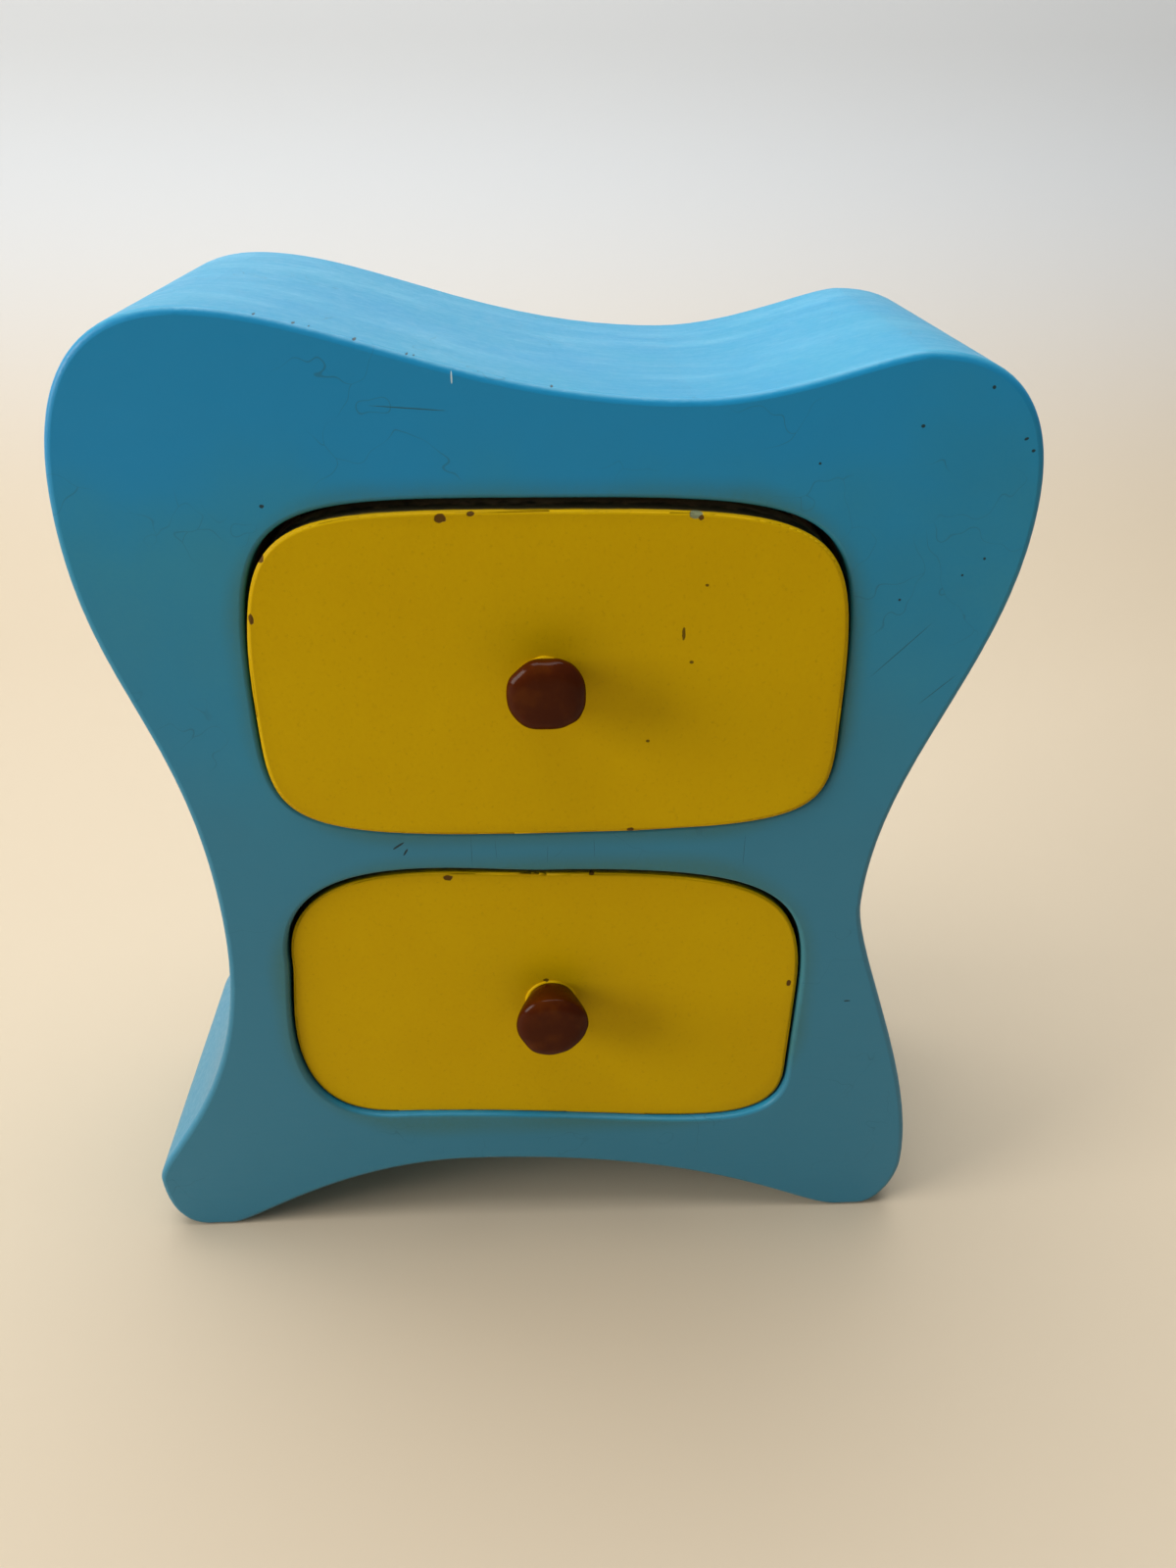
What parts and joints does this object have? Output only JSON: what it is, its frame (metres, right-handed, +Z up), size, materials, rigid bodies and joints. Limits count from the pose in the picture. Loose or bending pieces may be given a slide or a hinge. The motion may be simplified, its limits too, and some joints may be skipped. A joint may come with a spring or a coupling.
{
  "type": "small drawer box",
  "caption": "Free-standing wavy-outlined wooden box, sawn from one block, with two rounded drawers one above the other, each pulled out by a peg knob.",
  "frame": {"origin": "on the table, under the middle of the whole box's bounding box, knobs included", "axes": "+Z up; the drawers pull out towards -Y; +X to the right of someone facing the drawers"},
  "size_m": [0.17, 0.0764, 0.2],
  "materials": {
    "blue_painted_wood": "brushed satin blue paint over softwood",
    "yellow_painted_wood": "brushed satin yellow paint over softwood",
    "bare_wood": "bare sawn softwood",
    "brown_painted_peg": "thick gloss brown paint over a hardwood peg"
  },
  "bodies": {
    "body": {"body_block": "blue_painted_wood", "back_panel": "blue_painted_wood"},
    "upper_drawer": {"upper_drawer_front": "yellow_painted_wood", "upper_drawer_core": "bare_wood", "upper_drawer_back": "bare_wood", "upper_knob": "brown_painted_peg"},
    "lower_drawer": {"lower_drawer_front": "yellow_painted_wood", "lower_drawer_core": "bare_wood", "lower_drawer_back": "bare_wood", "lower_knob": "brown_painted_peg"}
  },
  "joints": [
    {"name": "upper_drawer_slide", "type": "slide", "parent": "body", "child": "upper_drawer", "axis": [0, -1, 0], "range_m": [-0.0034, 0.06]},
    {"name": "lower_drawer_slide", "type": "slide", "parent": "body", "child": "lower_drawer", "axis": [0, -1, 0], "range_m": [-0.0012, 0.062]}
  ]
}
